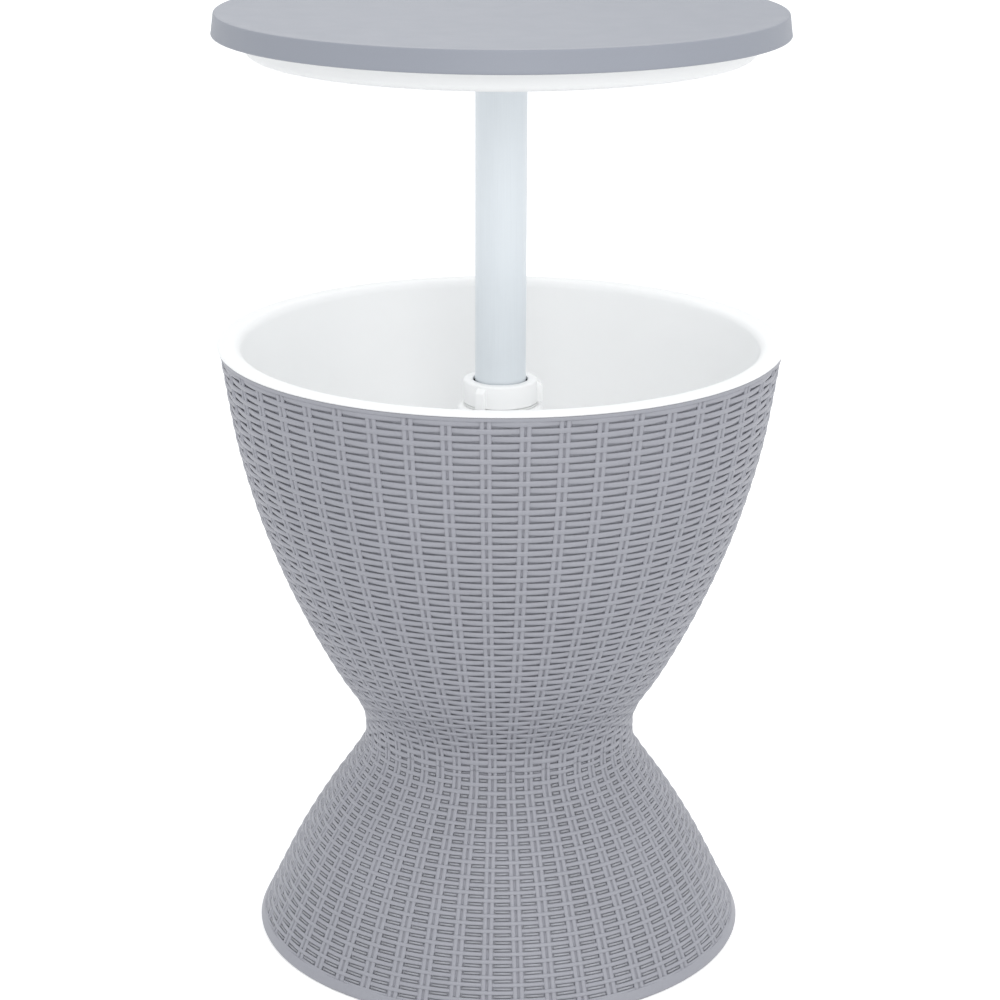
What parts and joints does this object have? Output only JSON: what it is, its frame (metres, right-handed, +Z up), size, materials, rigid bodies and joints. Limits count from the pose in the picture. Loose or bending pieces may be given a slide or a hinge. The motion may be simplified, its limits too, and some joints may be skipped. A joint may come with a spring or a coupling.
{
  "type": "ice bucket coffee table",
  "caption": "Round outdoor table on a waisted woven-look bowl with a white ice bucket; its top rises on a central pole and turns to lock.",
  "frame": {"origin": "on the floor under the middle of the table, where its foot stands", "axes": "+Z up along the pole; -Y towards the viewer of the picture and +X to the viewer's right; the drain is at the back, towards +Y"},
  "size_m": [0.4988, 0.4988, 0.84],
  "materials": {
    "grey_plastic": "moulded cool grey plastic with a fine matt grain",
    "white_plastic": "moulded white plastic, smooth and slightly satin",
    "dark_plastic": "dark acetal, satin",
    "aluminium": "satin anodised tube with fine lengthwise drawing lines",
    "rubber": "milky silicone rubber, dull",
    "zinc_steel": "zinc-plated steel"
  },
  "bodies": {
    "base": {"bucket_liner": "white_plastic", "upper_shell": "grey_plastic", "lower_shell": "grey_plastic", "guide_tube": "white_plastic", "guide_bush": "dark_plastic", "column_collar": "white_plastic", "column_gasket": "rubber", "tube_end_cap": "dark_plastic", "base_nut": "dark_plastic", "waist_screw_1": "zinc_steel", "waist_screw_2": "zinc_steel", "waist_screw_3": "zinc_steel", "waist_screw_4": "zinc_steel", "drain_seal": "rubber", "drain_nut": "grey_plastic"},
    "carriage": {"guide_shoe": "dark_plastic"},
    "table": {"table_top": "grey_plastic", "lid_pan": "white_plastic", "pan_screw_1": "zinc_steel", "pan_screw_2": "zinc_steel", "pan_screw_3": "zinc_steel", "pan_screw_4": "zinc_steel", "pan_screw_5": "zinc_steel", "pan_screw_6": "zinc_steel", "pole_socket": "grey_plastic", "socket_screw_1": "zinc_steel", "socket_screw_2": "zinc_steel", "socket_screw_3": "zinc_steel", "socket_screw_4": "zinc_steel", "pole_screw_1": "zinc_steel", "pole_screw_2": "zinc_steel", "pole_tube": "aluminium", "pole_foot": "dark_plastic", "foot_pin": "zinc_steel", "shoe_washer": "zinc_steel", "foot_screw": "zinc_steel"},
    "stopper": {"drain_plug": "dark_plastic"}
  },
  "joints": [
    {"name": "table_lift", "type": "slide", "parent": "base", "child": "carriage", "axis": [0, 0, 1], "range_m": [-0.2687, 0]},
    {"name": "table_twist", "type": "hinge", "parent": "carriage", "child": "table", "pos_m": [0, 0, 0.43], "axis": [0, 0, 1], "range_deg": [0, 90]},
    {"name": "drain_pull", "type": "slide", "parent": "base", "child": "stopper", "axis": [0, 0.891, -0.454], "range_m": [0, 0.03]}
  ]
}
